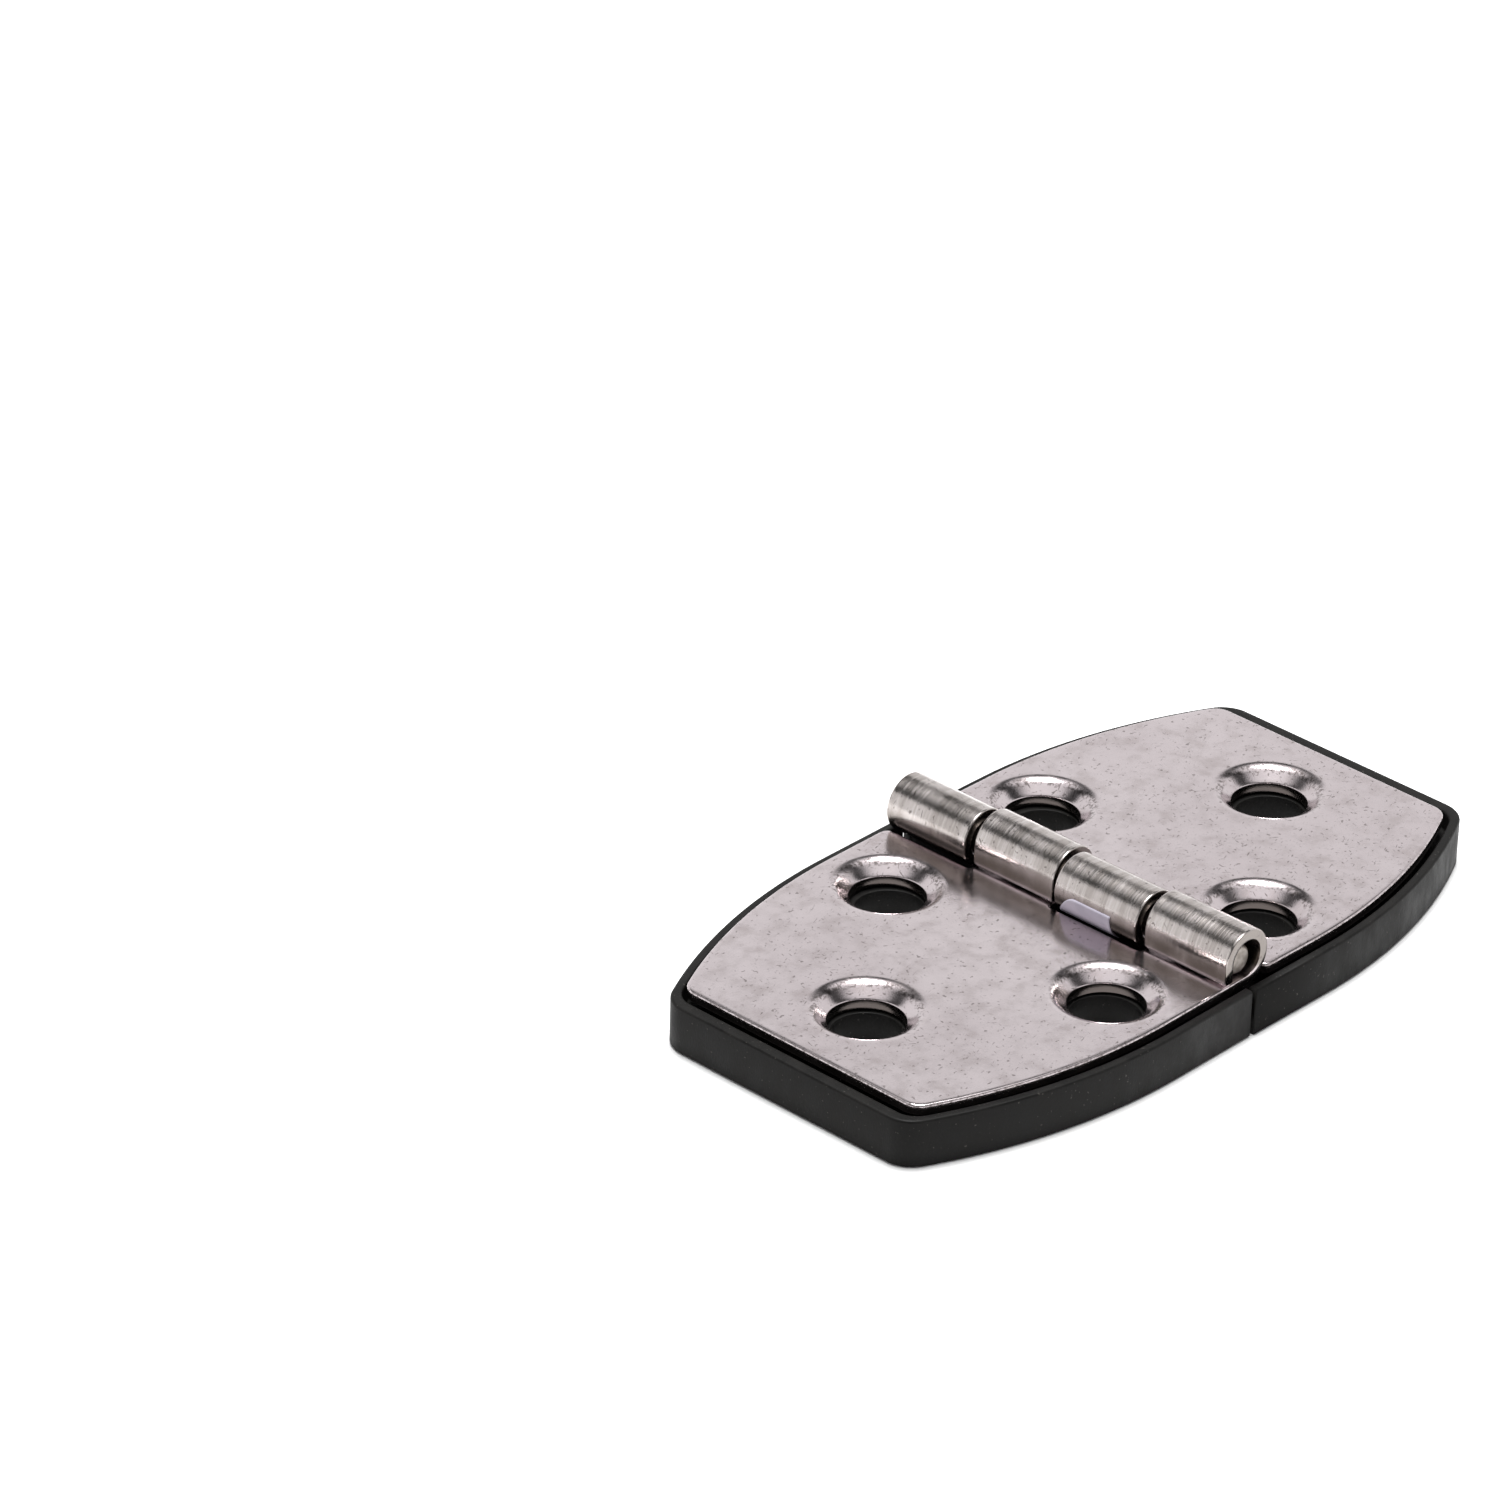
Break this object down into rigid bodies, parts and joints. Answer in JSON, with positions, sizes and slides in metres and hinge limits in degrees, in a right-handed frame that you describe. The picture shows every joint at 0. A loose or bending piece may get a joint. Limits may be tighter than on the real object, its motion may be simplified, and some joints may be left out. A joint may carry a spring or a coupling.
{
  "type": "door hinge",
  "caption": "Surface-mounted stainless door hinge with curled knuckles, pressed countersunk screw seats and black backing pads.",
  "frame": {"origin": "on the plane the backing pads stand on, midway along the pin and under it", "axes": "+Z from the pads' undersides up to the barrel, +Y along the pin, +X towards the right leaf, which swings"},
  "size_m": [0.0708, 0.0394, 0.0092],
  "materials": {
    "leaf_steel": "satin polished stainless sheet",
    "pin_steel": "plain turned stainless rod",
    "black_plastic": "matte moulded black plastic"
  },
  "bodies": {
    "fixed_side": {"left_leaf": "leaf_steel", "left_backing_pad": "black_plastic", "hinge_pin": "pin_steel"},
    "swinging_side": {"right_leaf": "leaf_steel", "right_backing_pad": "black_plastic"}
  },
  "joints": [
    {"name": "leaf_fold", "type": "hinge", "parent": "fixed_side", "child": "swinging_side", "pos_m": [0, 0, 0.00638], "axis": [0, -1, 0], "range_deg": [0, 180]}
  ]
}
